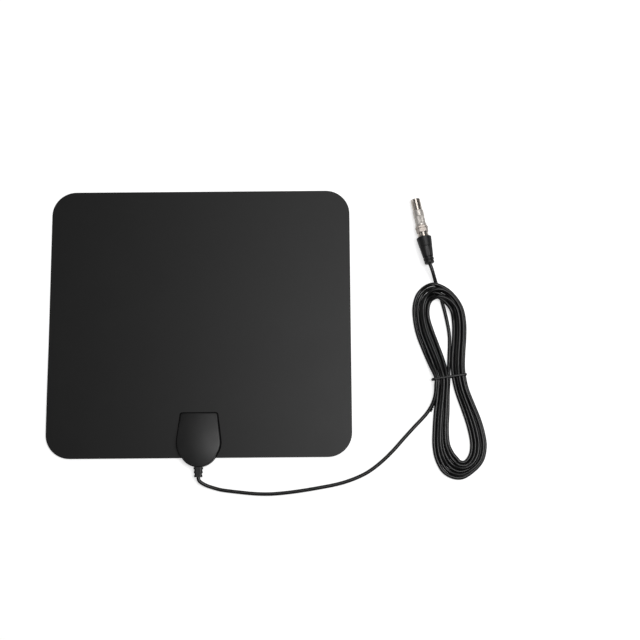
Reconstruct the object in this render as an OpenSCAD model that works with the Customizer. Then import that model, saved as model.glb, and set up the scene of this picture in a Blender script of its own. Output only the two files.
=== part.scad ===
// Flat indoor television antenna: a film sheet with a moulded pod, a lead in a tied hank and an aerial plug

/* [Sheet] */
// Width of the sheet
sheet_w = 300; // [260:1:340]
// Height of the sheet
sheet_h = 268; // [240:1:300]
// Radius of the sheet's corners
sheet_corner_r = 24; // [10:1:36]
// Thickness of the rear film
rear_film_t = 0.35; // [0.3:0.05:0.5]
// Thickness of the front film
front_film_t = 0.35; // [0.3:0.05:0.5]
// Length over which the sheet rises from the table to the pod's base
bend_l = 80; // [60:1:100]

/* [Foil elements] */
// Thickness of the foil
foil_t = 0.1; // [0.05:0.01:0.15]
// Gap between the two elements
element_gap = 10; // [6:1:16]
// Bare margin of film outside the elements
element_margin = 12; // [8:1:20]
// Width of each element's conducting border
element_band = 36; // [20:1:45]
// Radius of the elements' outer corners
element_r = 16; // [8:1:24]
// Width of the feed tabs that run under the pod
tab_w = 7; // [5:0.5:8]

/* [Pod] */
// Length from the pod's straight edge to its nose
pod_l = 53.4; // [50:0.2:60]
// Width of the straight edge
pod_top_w = 37.5; // [34:0.5:40]
// Radius of the two corners at the straight edge
pod_corner_r = 2.5; // [2.2:0.1:4]
// Radius of the pod at its widest
pod_r = 22; // [21:0.5:24]
// Distance from the nose to the centre of the widest radius
pod_r_up = 24.5; // [24:0.1:27]
// Radius of the nose
nose_r = 19.7; // [17:0.1:21]
// Length of the pod that stands past the sheet's edge
pod_overhang = 9; // [7:0.5:12]
// Height of the cover's crown above the sheet
crown_h = 7.5; // [7.4:0.1:9]
// Radius of the cover's dome
dome_r = 120; // [115:1:160]
// Thickness of the cover's side wall
pod_wall = 1.8; // [1.4:0.1:2]
// Thickness of the cover's roof
roof_t = 1.6; // [1.2:0.1:1.8]
// Thickness of the base plate
base_t = 1.2; // [1.1:0.1:1.6]
// Height of the shadow gap at the foot of the cover
skirt_h = 0.8; // [0.4:0.1:1]
// Depth of the shadow gap
skirt_in = 0.6; // [0.3:0.1:0.8]

/* [Screws and contacts] */
// Radius of the cover screws
screw_r = 0.9; // [0.8:0.05:1]
// Radius of the countersunk screw head
screw_head_r = 1.9; // [1.6:0.1:2.1]
// Length of the cover screws
screw_l = 4.2; // [3.8:0.1:4.4]
// Radius of the screw bosses
boss_r = 2.5; // [2.2:0.1:2.8]
// Distance of the upper screws from the middle
screw_top_x = 13; // [12.6:0.1:14]
// Distance of the upper screws below the straight edge
screw_top_y = 5.4; // [5:0.1:6]
// Distance of the lower screws from the middle
screw_low_x = 15.5; // [14.5:0.1:16]
// Distance of the lower screws above the nose
screw_low_y = 22; // [21:0.5:25]
// Radius of the eyelets that clinch the foil to the board
contact_r = 0.95; // [0.7:0.05:1.1]
// Radius of the eyelet heads
contact_head_r = 1.7; // [1.5:0.1:1.9]
// Thickness of the eyelet heads
contact_head_t = 0.35; // [0.2:0.05:0.4]
// Distance of each eyelet from the middle
contact_x = 6; // [5:0.1:6.5]
// Distance of the eyelets below the straight edge
contact_y = 12.4; // [10:0.2:14]

/* [Board and balun] */
// Width of the circuit board
board_w = 19; // [17:0.5:20]
// Length of the circuit board
board_l = 31; // [29:0.5:32]
// Thickness of the circuit board
board_t = 1; // [0.8:0.1:1.1]
// Distance of the board below the straight edge
board_drop = 5; // [4:0.2:6]
// Width of the ferrite core
core_w = 7; // [6.6:0.1:8]
// Length of the ferrite core
core_l = 5; // [4:0.1:6]
// Height of the ferrite core
core_h = 2.8; // [2.4:0.1:2.9]
// Radius of the core's two holes
core_hole_r = 0.8; // [0.75:0.05:0.9]
// Distance between the core's two holes
core_pitch = 3.6; // [3:0.1:3.8]
// Width of each turn of copper wire
wire_w = 0.4; // [0.3:0.02:0.4]

/* [Lead] */
// Diameter of the lead
cord_d = 3.6; // [3.2:0.1:4]
// Radius of the insulation inside the lead
dielectric_r = 1.1; // [0.9:0.05:1.2]
// Radius of the copper conductor
conductor_r = 0.4; // [0.3:0.05:0.42]
// Length of the strain relief outside the pod
relief_l = 9.5; // [8:0.5:14]
// Width of the strain relief's first rib
relief_w = 9.2; // [8.8:0.1:10]
// Height of the strain relief's first rib
relief_h = 6.4; // [6:0.1:6.6]
// Length of each rib
rib_l = 1.9; // [1.6:0.1:2.2]
// Depth of the grooves between the ribs
rib_depth = 0.7; // [0.4:0.1:0.8]
// Amount by which each rib is narrower than the one before
rib_step = 0.6; // [0.3:0.1:0.7]

/* [Hank] */
// Height of the hank
hank_h = 8; // [7.4:0.1:9]
// Distance from the middle of the bundle to its outer side
hank_out = 8.4; // [7.5:0.1:9]
// Distance from the middle of the bundle to its inner side
hank_in = 7.2; // [6:0.1:7.4]
// Width of the tie's wire
tie_w = 1.8; // [1.4:0.1:2.4]
// Thickness of the tie
tie_t = 1; // [0.8:0.1:1.2]

/* [Plug] */
// Length of the rubber boot
boot_l = 28.7; // [26:0.1:32]
// Radius of the boot's front rim
boot_r = 7.6; // [7.4:0.1:8.5]
// Radius of the boot's rear end
boot_end_r = 4.8; // [4:0.1:5]
// Length of the ferrule between the boot and the nut
neck_l = 3.4; // [2.5:0.1:4.5]
// Radius of that ferrule
neck_r = 5.3; // [4.9:0.1:5.4]
// Width across the flats of the coupling nut
nut_af = 11; // [11:0.1:11.4]
// Length of the coupling nut
nut_l = 6.8; // [6:0.1:9]
// Radius of the adapter's flange
flange_r = 5.7; // [5.5:0.1:6]
// Length of the flange
flange_l = 2.6; // [2:0.1:4]
// Radius of the fluted barrel
barrel_r = 5.15; // [5:0.05:5.4]
// Length of the fluted barrel
barrel_l = 7.5; // [6:0.1:10]
// Radius of the collar at the sleeve's root
collar_r = 5.45; // [5.3:0.05:5.7]
// Length of the collar
collar_l = 6.7; // [5:0.1:8]
// Outer radius of the aerial plug's sleeve
sleeve_r = 4.75; // [4.7:0.05:4.8]
// Thickness of the sleeve
sleeve_wall = 0.6; // [0.5:0.05:0.7]
// Length of the sleeve in front of the collar
sleeve_l = 12.1; // [10:0.1:14]
// Radius of the centre pin
pin_r = 1.2; // [1.1:0.05:1.25]
// Width of the sleeve's slots
slot_w = 0.7; // [0.4:0.1:1]
// Length of the sleeve's slots
slot_l = 8.5; // [6:0.5:9]

/* [Hidden] */
$fn = 64;

// Running clearances
fit = 0.1;
clear = 0.3;
// Length by which a cutting solid passes the face that it opens
past = 1;

// The origin is under the middle of the sheet, pod and strain relief, on the table
total_h = sheet_h + pod_overhang + relief_l;
sheet_top = total_h / 2;
sheet_low = sheet_top - sheet_h;
nose_y = sheet_low - pod_overhang;
exit_y = -total_h / 2;
pod_top = nose_y + pod_l;

// Heights of the layers in the pod
film_t = rear_film_t + front_film_t;
film_top = base_t + film_t;
board_top = film_top + board_t;
cord_r = cord_d / 2;
lead_z = film_top + cord_r + 0.5;

// Places of the screws, contacts and board parts
screw_places = [
  for (side = [-1, 1]) [side * screw_top_x, pod_top - screw_top_y],
  for (side = [-1, 1]) [side * screw_low_x, nose_y + screw_low_y]
];
contact_places = [for (side = [-1, 1]) [side * contact_x, pod_top - contact_y]];
board_top_y = pod_top - board_drop;
board_low_y = board_top_y - board_l;
core_y = board_low_y + board_l / 2 - 1;
jacket_end_y = board_low_y - 4;
shield_l = 1.6;
dielectric_l = 5;

// Rounded rectangle about the origin
module rounded(w, h, r) {
  square([w - 2 * r, h], center = true);
  square([w, h - 2 * r], center = true);
  for (x = [-1, 1], y = [-1, 1]) translate([x * (w / 2 - r), y * (h / 2 - r)]) circle(r);
}

// Straight round rod between two points
module rod(a, b, r) {
  d = b - a;
  l = norm(d);
  translate(a) rotate([0, acos(d.z / l), atan2(d.y, d.x)]) cylinder(h = l, r = r);
}

// Height of the sheet's underside above the table at a distance y
bend_low = pod_top + 4;
bend_steps = 14;
function lift(y) =
  y <= bend_low ? base_t
  : y >= bend_low + bend_l ? 0
  : base_t * (1 + cos(180 * (y - bend_low) / bend_l)) / 2;

// One layer of the sheet between two heights above its underside, over the whole width
module layer(low, high) {
  ys = concat([sheet_low - past], [for (i = [0:bend_steps]) bend_low + bend_l * i / bend_steps],
    [sheet_top + past]);
  under = [for (y = ys) [y, lift(y) + low]];
  over = [for (i = [len(ys) - 1:-1:0]) [ys[i], lift(ys[i]) + high]];
  translate([-sheet_w / 2 - past, 0, 0]) rotate([90, 0, 90])
    linear_extrude(sheet_w + 2 * past) polygon(concat(under, over));
}

// Outline of the sheet with the screw and contact holes
module sheet_plan() {
  difference() {
    translate([0, sheet_top - sheet_h / 2]) rounded(sheet_w, sheet_h, sheet_corner_r);
    for (p = screw_places) translate(p) circle(screw_r + clear);
    for (p = contact_places) translate(p) circle(contact_r + fit);
  }
}

// Outline of the right element: a broad border with a feed tab down to its contact
element_low = sheet_low + element_margin;
element_top = sheet_top - element_margin;
element_x0 = element_gap / 2;
element_x1 = sheet_w / 2 - element_margin;
pod_gap = 4;
module element_plan() {
  w = element_x1 - element_x0;
  h = element_top - element_low;
  middle = [element_x0 + w / 2, element_low + h / 2];
  difference() {
    union() {
      difference() {
        translate(middle) rounded(w, h, element_r);
        translate(middle) rounded(w - 2 * element_band, h - 2 * element_band, element_r / 2);
        translate([0, element_low - past])
          square([pod_r + pod_gap, pod_top + pod_gap - element_low + past]);
      }
      translate([contact_x - tab_w / 2, contact_places[1].y - tab_w / 2])
        square([tab_w, pod_top + pod_gap - contact_places[1].y + tab_w / 2 + element_r]);
    }
    translate(contact_places[1]) circle(contact_r);
  }
}

module element(side) {
  intersection() {
    layer(rear_film_t, rear_film_t + foil_t);
    linear_extrude(3 * base_t) mirror([side < 0 ? 1 : 0, 0]) element_plan();
  }
}

module rear_film() {
  color("#1b1b1b") intersection() {
    layer(0, rear_film_t);
    linear_extrude(3 * base_t) sheet_plan();
  }
}

// The front film is pressed over the foil, so it holds a pocket of the foil's thickness
module front_film() {
  color("#242424") difference() {
    intersection() {
      layer(rear_film_t, film_t);
      linear_extrude(3 * base_t) sheet_plan();
    }
    intersection() {
      layer(rear_film_t - foil_t, rear_film_t + foil_t);
      linear_extrude(3 * base_t) for (flip = [0, 1]) mirror([flip, 0]) union() {
        element_plan();
        translate(contact_places[1]) circle(2 * contact_r);
      }
    }
  }
}

module left_element() { color("#c9ccd0") element(-1); }
module right_element() { color("#c9ccd0") element(1); }

// Direction of the straight side that touches two circles, as its outward normal
function side_normal(c1, r1, c2, r2, hand) =
  let (d = norm(c2 - c1), u = (c2 - c1) / d, k = (r1 - r2) / d)
  u * k + hand * sqrt(1 - k * k) * [u.y, -u.x];

// Prism on the pod's outline, drawn in by an inset: the widest circle, the nose and two small corners
wide_c = [0, nose_y + pod_r_up];
nose_c = [0, nose_y + nose_r];
corner_c = [pod_top_w / 2 - pod_corner_r, pod_top - pod_corner_r];
flare_n = side_normal(wide_c, pod_r, corner_c, pod_corner_r, 1);
cheek_n = side_normal(wide_c, pod_r, nose_c, nose_r, -1);
// Depth to which the straight sides run into the round ones, so that they cross and don't only touch
side_dip = 0.02;
module pod_prism(inset, h) {
  wide = pod_r - inset;
  nose = nose_r - inset;
  corner = pod_corner_r - inset;
  right = [
    corner_c + [0, corner - side_dip], corner_c + (corner - side_dip) * flare_n,
    wide_c + (wide - side_dip) * flare_n, wide_c + (wide - side_dip) * cheek_n,
    nose_c + (nose - side_dip) * cheek_n
  ];
  left = [for (i = [len(right) - 1:-1:0]) [-right[i].x, right[i].y]];
  linear_extrude(h) polygon(concat(right, left));
  translate(wide_c) cylinder(h = h, r = wide, $fn = 128);
  translate(nose_c) cylinder(h = h, r = nose, $fn = 128);
  for (side = [-1, 1]) translate([side * corner_c.x, corner_c.y]) cylinder(h = h, r = corner);
}

// Turned solid under the cover's dome, at a depth below its outer face
dome_reach = 42;
dome_step = 3;
function dome_z(x, depth) = film_top + crown_h - dome_r + sqrt(pow(dome_r - depth, 2) - x * x);
module under_dome(depth) {
  crown = [for (x = [dome_reach:-dome_step:0]) [x, dome_z(x, depth)]];
  translate([0, nose_c.y, 0]) rotate_extrude($fn = 128)
    polygon(concat([[0, -past], [dome_reach, -past]], crown));
}

// Section of the strain relief, centred on the lead
module relief_section(w, h) {
  rounded(w, h, h / 2.6);
}

module along_relief(y, l) {
  translate([0, y + l, lead_z]) rotate([90, 0, 0]) linear_extrude(l) children();
}

// Width and height of the strain relief's neck, where it passes the pod's wall
neck_w = relief_w - 2 * rib_depth;
neck_h = relief_h - 2 * rib_depth;

module pod_base() {
  color("#1e1e1e") difference() {
    union() {
      pod_prism(0, base_t);
      intersection() {
        difference() {
          pod_prism(0, film_top);
          translate([0, 0, -past]) pod_prism(pod_wall, film_top + 2 * past);
        }
        translate([-pod_r, nose_y - past, 0]) cube([2 * pod_r, pod_overhang + past - clear, film_top]);
      }
    }
    for (p = screw_places) translate([p.x, p.y, 0]) {
      translate([0, 0, -past]) cylinder(h = base_t + 2 * past, r = screw_r + fit);
      cylinder(h = screw_head_r - screw_r, r1 = screw_head_r, r2 = screw_r);
    }
    for (p = contact_places) translate([p.x, p.y, base_t - contact_head_t])
      cylinder(h = contact_head_t + past, r = contact_head_r + clear);
    along_relief(nose_y - past, pod_wall + 3 * past) relief_section(neck_w, neck_h);
  }
}

// Domed cover with a shadow gap at its foot, screw bosses inside and a notch for the strain relief
module pod_cover() {
  cover_h = crown_h + past;
  color("#262626") difference() {
    union() {
      difference() {
        intersection() {
          translate([0, 0, film_top]) union() {
            pod_prism(skirt_in, skirt_h);
            translate([0, 0, skirt_h]) pod_prism(0, cover_h);
          }
          under_dome(0);
        }
        intersection() {
          translate([0, 0, film_top - past]) pod_prism(pod_wall, cover_h + 2 * past);
          under_dome(roof_t);
        }
      }
      intersection() {
        for (p = screw_places) translate([p.x, p.y, film_top]) cylinder(h = crown_h, r = boss_r);
        under_dome(roof_t / 2);
      }
    }
    for (p = screw_places) translate([p.x, p.y, film_top - past])
      cylinder(h = screw_l - film_top + past + fit, r = screw_r);
    along_relief(nose_y - past, pod_wall + 3 * past) relief_section(neck_w, neck_h);
  }
}

// Four countersunk screws from the back
module cover_screws() {
  color("#8f8f8f") for (p = screw_places) translate([p.x, p.y, 0]) difference() {
    union() {
      cylinder(h = screw_l, r = screw_r);
      cylinder(h = screw_head_r - screw_r, r1 = screw_head_r, r2 = screw_r);
    }
    for (turn = [0, 90]) rotate([0, 0, turn])
      translate([-screw_head_r / 2, -0.2, -past]) cube([screw_head_r, 0.4, past + 0.5]);
  }
}

module circuit_board() {
  color("#2f6b45") translate([0, 0, film_top]) difference() {
    linear_extrude(board_t) translate([0, board_low_y + board_l / 2]) rounded(board_w, board_l, 1);
    for (p = contact_places) translate([p.x, p.y, -past])
      cylinder(h = board_t + 2 * past, r = contact_r + fit);
  }
}

// Ferrite block with two holes along Y
module balun_core() {
  color("#3b3b3d") translate([0, core_y + core_l / 2, board_top]) rotate([90, 0, 0])
    linear_extrude(core_l) difference() {
      translate([0, core_h / 2]) rounded(core_w, core_h, core_h / 2 - 0.1);
      for (side = [-1, 1]) translate([side * core_pitch / 2, core_h / 2]) circle(core_hole_r);
    }
}

// Turns of copper wire through each hole and over the top of the core
wire_turns = 3;
module balun_winding() {
  loop_l = core_l + 2 * fit + 2 * wire_w;
  loop_h = core_h / 2 + fit + 1.5 * wire_w;
  pitch = wire_w * 1.1;
  color("#b4703a") for (side = [-1, 1], k = [0:wire_turns - 1])
    translate([side * core_pitch / 2 + (k - (wire_turns - 1) / 2) * pitch - wire_w / 2, core_y,
      board_top + core_h / 2 - wire_w / 2 + loop_h / 2])
      rotate([90, 0, 90]) linear_extrude(wire_w) difference() {
        rounded(loop_l, loop_h, wire_w);
        square([loop_l - 2 * wire_w, loop_h - 2 * wire_w], center = true);
      }
}

// Small surface parts in a row on each side of the core
chip = [1.2, 2, 0.6];
module chip_parts() {
  color("#1f1c1a") for (side = [-1, 1], k = [0:2])
    translate([side * (core_w / 2 + 2.2) - chip.x / 2, core_y + (k - 1) * 3 - chip.y / 2, board_top])
      cube(chip);
}

// Eyelet from the underside of the sheet to the top of the board
module contact(place) {
  color("#c8a04a") translate([place.x, place.y, 0]) {
    translate([0, 0, base_t - contact_head_t]) cylinder(h = contact_head_t, r = contact_head_r);
    translate([0, 0, base_t]) cylinder(h = film_t + board_t, r = contact_r);
    translate([0, 0, board_top]) cylinder(h = contact_head_t, r = contact_head_r);
  }
}

module left_contact() { contact(contact_places[0]); }
module right_contact() { contact(contact_places[1]); }

// Moulded relief with ribs outside the pod, a neck in its wall and a flange inside it
rib_count = 3;
relief_flange_l = 1.5;
relief_flange_w = neck_w + 2.6;
module strain_relief() {
  rib_pitch = (relief_l - rib_l) / (rib_count - 1);
  inner_y = nose_c.y - sqrt(pow(nose_r - pod_wall, 2) - pow(relief_flange_w / 2, 2)) + fit;
  color("#202020") difference() {
    union() {
      for (k = [0:rib_count - 1]) {
        w = relief_w - k * rib_step;
        h = relief_h - k * rib_step;
        along_relief(nose_y - k * rib_pitch - rib_l, rib_l) relief_section(w, h);
        if (k < rib_count - 1) along_relief(nose_y - (k + 1) * rib_pitch, rib_pitch - rib_l)
          relief_section(w - 2 * rib_depth, h - 2 * rib_depth);
      }
      along_relief(nose_y, inner_y - nose_y + relief_flange_l / 2) relief_section(neck_w, neck_h);
      along_relief(inner_y, relief_flange_l) relief_section(relief_flange_w, neck_h - 0.6);
    }
    translate([0, exit_y - past, lead_z]) rotate([-90, 0, 0])
      cylinder(h = inner_y + relief_flange_l - exit_y + 2 * past, r = cord_r);
    for (k = [0:rib_count - 2], side = [-1, 1]) {
      window_y = nose_y - k * rib_pitch - (rib_l + rib_pitch) / 2;
      translate([side * (cord_r + 0.5 + relief_w / 2), window_y, lead_z])
        cube([relief_w, rib_pitch - rib_l - 0.6, 1.6], center = true);
    }
  }
}

// Jacket of the lead inside the strain relief and the pod
module lead_end() {
  color("#151515") translate([0, exit_y, lead_z]) rotate([-90, 0, 0]) difference() {
    cylinder(h = jacket_end_y - exit_y, r = cord_r);
    translate([0, 0, -past]) cylinder(h = jacket_end_y - exit_y + 2 * past, r = dielectric_r);
  }
}

// Braid gathered in a ring round the insulation, with a tail down to the board
module lead_shield() {
  shield_r = dielectric_r + 0.4;
  pad = [shield_r + 2.2, board_low_y + 2.5, board_top + 0.5];
  color("#c08a5a") union() {
    translate([0, jacket_end_y, lead_z]) rotate([-90, 0, 0]) difference() {
      cylinder(h = shield_l, r = shield_r);
      translate([0, 0, -past]) cylinder(h = shield_l + 2 * past, r = dielectric_r);
    }
    rod([shield_r, jacket_end_y + shield_l / 2, lead_z], pad, 0.35);
    translate(pad) sphere(0.5);
  }
}

// Insulated conductor, bent down to its pad on the board
module lead_conductor() {
  bend_y = jacket_end_y + dielectric_l + 2;
  color("#e6e2d8") union() {
    translate([0, exit_y, lead_z]) rotate([-90, 0, 0])
      cylinder(h = jacket_end_y + dielectric_l - exit_y, r = dielectric_r);
    rod([0, jacket_end_y + dielectric_l - past, lead_z], [0, bend_y, lead_z], conductor_r);
    translate([0, bend_y, lead_z]) sphere(conductor_r);
    rod([0, bend_y, lead_z], [0, bend_y, board_top], conductor_r);
  }
}

// Route of the lead from the strain relief to the hank: [x, y] from the exit and the height of its underside
lead_route = [
  [0, 0, lead_z - cord_r], [1, -3, 2.1], [3.6, -5.3, 1.7], [8, -8, 1], [14, -10.4, 0.4],
  [22, -12.4, 0.1], [31, -13.7, 0], [40, -14.8, 0], [50, -15.9, 0], [60, -16.6, 0], [70, -16.7, 0],
  [80, -16.1, 0], [90, -15.1, 0], [100, -13.8, 0], [110, -12.3, 0], [120, -10.6, 0], [130, -8.8, 0],
  [140, -6.5, 0], [149, -3.6, 0], [157, -0.4, 0], [164, 3.1, 0], [171, 7.7, 0], [178, 13.2, 0],
  [185, 19.5, 0], [192, 26.6, 0], [198.5, 33.8, 0], [205, 40.8, 0], [211.5, 47.7, 0],
  [217.5, 54.1, 0], [222.5, 60.3, 0], [226.3, 66.5, 0], [229, 73, 0], [230.6, 80, 0], [231, 88, 0]
];
// Number of the route's points that lie before the hank
lead_free = 31;

// Route of the tail from the hank's opening, under its top bundle and up to the boot
tail_route = [
  [245.5, 118, 0], [245.5, 124, 0], [246.2, 131, 0], [246.4, 138, 0], [245.8, 146, 0],
  [244.6, 154, 0], [243, 162, 0], [241.2, 169, 0], [239.2, 176, 0.1], [237.3, 183, 0.8],
  [235.4, 189.5, 2.4], [233.6, 195, 4.6], [231.9, 200.5, 6.8], [230.3, 205.2, 7.8]
];

// Middle line of the hank's bundle, clockwise from its waist on the left
hank_line = [
  [237, 95], [233, 110], [228, 125], [223, 140], [219.5, 154], [219.5, 167], [224, 176.5],
  [232, 181], [241, 179.5], [249, 173], [254.5, 163], [256.5, 150], [256.5, 135], [255.3, 120],
  [254.5, 106], [254.8, 95], [258, 82], [263, 67], [268, 52], [271, 39], [272, 28], [269.5, 17],
  [263, 8.5], [254.5, 5.5], [246.5, 9], [240.5, 17.5], [236.5, 29], [236, 45], [237, 62], [238, 79]
];

function unit(v) = v / norm(v);
function heading(path, i) = unit(path[min(i + 1, len(path) - 1)] - path[max(i - 1, 0)]);
function beside(path, i, away) = let (h = heading(path, i)) path[i] + away * [-h.y, h.x];

// Round tube along a path, with its first and last rings square to the given directions
cord_sides = 8;
module tube(path, first, last) {
  n = len(path);
  r = cord_r / cos(180 / cord_sides);
  points = [
    for (i = [0:n - 1])
      let (
        h = i == 0 ? unit(first) : i == n - 1 ? unit(last) : heading(path, i),
        across = unit(cross(h, [0, 0, 1])),
        up = cross(across, h)
      )
      for (k = [0:cord_sides - 1])
        let (a = (k + 0.5) * 360 / cord_sides) path[i] + r * (cos(a) * across + sin(a) * up)
  ];
  walls = [
    for (i = [0:n - 2], k = [0:cord_sides - 1])
      let (a = i * cord_sides, next = (k + 1) % cord_sides)
      [a + k, a + cord_sides + k, a + cord_sides + next, a + next]
  ];
  ends = [
    [for (k = [0:cord_sides - 1]) k],
    [for (k = [cord_sides - 1:-1:0]) (n - 1) * cord_sides + k]
  ];
  polyhedron(points, concat(walls, ends), convexity = 10);
}

// The cord's route lies from the exit, so it follows the strain relief
module from_exit() {
  translate([0, exit_y, 0]) children();
}

function on_table(route) = [for (p = route) [p.x, p.y, p.z + cord_r]];

module antenna_lead() {
  path = on_table([for (i = [0:lead_free - 1]) lead_route[i]]);
  after = lead_route[lead_free] - lead_route[lead_free - 2];
  color("#161616") from_exit() tube(path, [0, -1, 0], after);
}

// Plan of the hank's bundle, open in its two lobes, with the point of its line at the right of the waist
waist = 15;
module hank_plan() {
  n = len(hank_line);
  loop = concat([hank_line[n - 1]], hank_line, [hank_line[0]]);
  outer = [for (i = [1:n]) beside(loop, i, hank_out)];
  upper = [for (i = [2:waist]) beside(loop, i, -hank_in)];
  lower = [for (i = [waist + 2:n]) beside(loop, i, -hank_in)];
  difference() {
    polygon(outer);
    intersection() {
      polygon(upper);
      translate([0, tail_route[0].y]) square(400);
    }
    polygon(lower);
  }
}

// Strand of the lead beside the hank, from the end of its free part
module lead_in_plan() {
  flat = [for (p = lead_route) [p.x, p.y]];
  span = [lead_free - 1:len(lead_route) - 1];
  polygon(concat(
    [for (i = span) beside(flat, i, cord_r)],
    [for (i = [len(lead_route) - 1:-1:lead_free - 1]) beside(flat, i, -cord_r)]
  ));
}

// The tie crosses both bundles at the waist, a little askew
tie_c = [246, 93.6];
tie_yaw = 8;
tie_span = 35.4;
tie_bend_r = 0.5;
tie_tail_from = [241.5, 93.2];
tie_tail_to = [227.4, 61.8];
tie_tail_r = 0.8;
module at_tie() {
  translate([tie_c.x, tie_c.y, 0]) rotate([0, 0, tie_yaw]) children();
}

// Points of the tail's route between which it passes under the top bundle
tunnel_from = 6;
tunnel_to = 10;
module lead_hank() {
  color("#181818") from_exit() difference() {
    union() {
      linear_extrude(hank_h) hank_plan();
      linear_extrude(cord_d) lead_in_plan();
    }
    // Way under the top bundle for the tail
    for (i = [tunnel_from:tunnel_to]) {
      a = tail_route[i];
      b = tail_route[i + 1];
      step = [b.x - a.x, b.y - a.y];
      translate([a.x, a.y, 0]) rotate([0, 0, atan2(step.y, step.x)])
        translate([-clear, -cord_r - clear, -past])
          cube([norm(step) + 2 * clear, cord_d + 2 * clear, past + cord_d + b.z + 2 * clear]);
    }
    at_tie() translate([-tie_span, -tie_w / 2 - clear, -past])
      cube([2 * tie_span, tie_w + 2 * clear, past + tie_t + clear]);
    rod([tie_tail_from.x, tie_tail_from.y, tie_tail_r], [tie_tail_to.x, tie_tail_to.y, tie_tail_r],
      tie_tail_r + clear);
    mid = (tie_tail_from + tie_tail_to) / 2;
    run = tie_tail_to - tie_tail_from;
    translate([mid.x, mid.y, 0]) rotate([0, 0, atan2(run.y, run.x)])
      cube([norm(run), 2 * (tie_tail_r + clear), 2 * tie_tail_r], center = true);
  }
}

// Wire band round both bundles, with its twisted ends folded under the left one
module hank_tie() {
  inner_h = hank_h - tie_t + fit;
  color("#101010") from_exit() union() {
    at_tie() translate([0, tie_w / 2, inner_h / 2 + tie_t]) rotate([90, 0, 0])
      linear_extrude(tie_w) difference() {
        rounded(tie_span + 2 * tie_t, inner_h + 2 * tie_t, tie_bend_r + tie_t);
        rounded(tie_span, inner_h, tie_bend_r);
      }
    rod([tie_tail_from.x, tie_tail_from.y, tie_tail_r], [tie_tail_to.x, tie_tail_to.y, tie_tail_r],
      tie_tail_r);
  }
}

// Lengths along the plug from the rear of its boot
nut_s = boot_l + neck_l;
flange_s = nut_s + nut_l;
barrel_s = flange_s + flange_l;
collar_s = barrel_s + barrel_l;
sleeve_s = collar_s + collar_l;
plug_l = sleeve_s + sleeve_l;

// The plug lies on the rim of its boot and the tip of its sleeve
plug_yaw = 10.7;
plug_dip = atan((boot_r - sleeve_r) / (plug_l - boot_l));
plug_from = [228.9, 208.8, boot_r * cos(plug_dip) + boot_l * sin(plug_dip)];
plug_way = [-sin(plug_yaw) * cos(plug_dip), cos(plug_yaw) * cos(plug_dip), -sin(plug_dip)];
module on_plug(s) {
  from_exit() translate(plug_from) rotate([0, 0, plug_yaw]) rotate([-90 - plug_dip, 0, 0])
    translate([0, 0, s]) children();
}

module turned(profile) {
  rotate_extrude($fn = 96) polygon(profile);
}

module lead_tail() {
  path = concat(on_table(tail_route), [plug_from]);
  color("#161616") from_exit() tube(path, [0, 1, 0], plug_way);
}

// Rubber boot: a ribbed end, a faceted taper and a plain front
crimp_r = 4.3;
crimp_s = 12;
module plug_boot() {
  end_l = 3.4;
  groove_l = 0.8;
  ring_l = 3.6;
  taper_s = end_l + ring_l + 2 * groove_l;
  step_s = boot_l - 8;
  ring_r = boot_end_r + 0.4;
  taper_r = boot_end_r + 0.7;
  step_r = boot_r - 0.8;
  facets = 8;
  color("#191919") on_plug(0) difference() {
    union() {
      turned([
        [0, 0], [boot_end_r - 0.3, 0], [boot_end_r, 0.4], [boot_end_r, end_l],
        [boot_end_r - 0.6, end_l], [boot_end_r - 0.6, end_l + groove_l], [ring_r, end_l + groove_l],
        [ring_r, end_l + groove_l + ring_l], [ring_r - 0.5, end_l + groove_l + ring_l],
        [ring_r - 0.5, taper_s], [taper_r, taper_s], [step_r, step_s], [step_r + 0.3, step_s],
        [boot_r, boot_l - 0.5], [boot_r - 0.5, boot_l], [0, boot_l]
      ]);
      for (k = [0:facets - 1]) rotate([0, 0, k * 360 / facets])
        rod([taper_r - 0.7, 0, taper_s + 0.6], [step_r - 0.75, 0, step_s], 1.1);
    }
    translate([0, 0, -past]) cylinder(h = boot_l + 2 * past, r = cord_r);
    translate([0, 0, crimp_s]) cylinder(h = boot_l, r = crimp_r);
  }
}

// Crimped ferrule, with a neck and a flange that hold the nut
strip_s = 24;
post_r = 3.4;
post_l = 1.4;
keep_l = 1;
module plug_ferrule() {
  color("#c9c3bb") on_plug(0) turned([
    [cord_r, crimp_s], [crimp_r, crimp_s], [crimp_r, boot_l], [neck_r, boot_l], [neck_r, nut_s - 0.4],
    [neck_r - 0.4, nut_s], [post_r, nut_s], [post_r, nut_s + post_l],
    [nut_thread_r - fit, nut_s + post_l],
    [nut_thread_r - fit, nut_s + post_l + keep_l], [dielectric_r, nut_s + post_l + keep_l],
    [dielectric_r, strip_s], [cord_r, strip_s]
  ]);
}

// Hexagon coupling nut, with a broader front ring
nut_thread_r = 4.75;
module coupling_nut() {
  ring_l = 2.2;
  groove_l = 0.5;
  corner_r = nut_af / 2 / cos(30);
  wall_l = post_l - 2 * fit;
  color("#c4bfb8") on_plug(nut_s + fit) difference() {
    intersection() {
      union() {
        cylinder(h = nut_l - ring_l - groove_l - fit, r = corner_r - 0.3, $fn = 6);
        cylinder(h = nut_l - fit, r = nut_af / 2 - 0.3);
        translate([0, 0, nut_l - ring_l - fit]) cylinder(h = ring_l, r = corner_r + 0.1, $fn = 6);
      }
      turned([
        [0, 0], [nut_af / 2 - 0.2, 0], [corner_r + 0.1, 0.8], [corner_r + 0.1, nut_l - 0.6 - fit],
        [nut_af / 2 + 0.2, nut_l - fit], [0, nut_l - fit]
      ]);
    }
    translate([0, 0, -past]) cylinder(h = nut_l, r = post_r + fit);
    translate([0, 0, wall_l]) cylinder(h = nut_l, r = nut_thread_r);
  }
}

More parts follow.
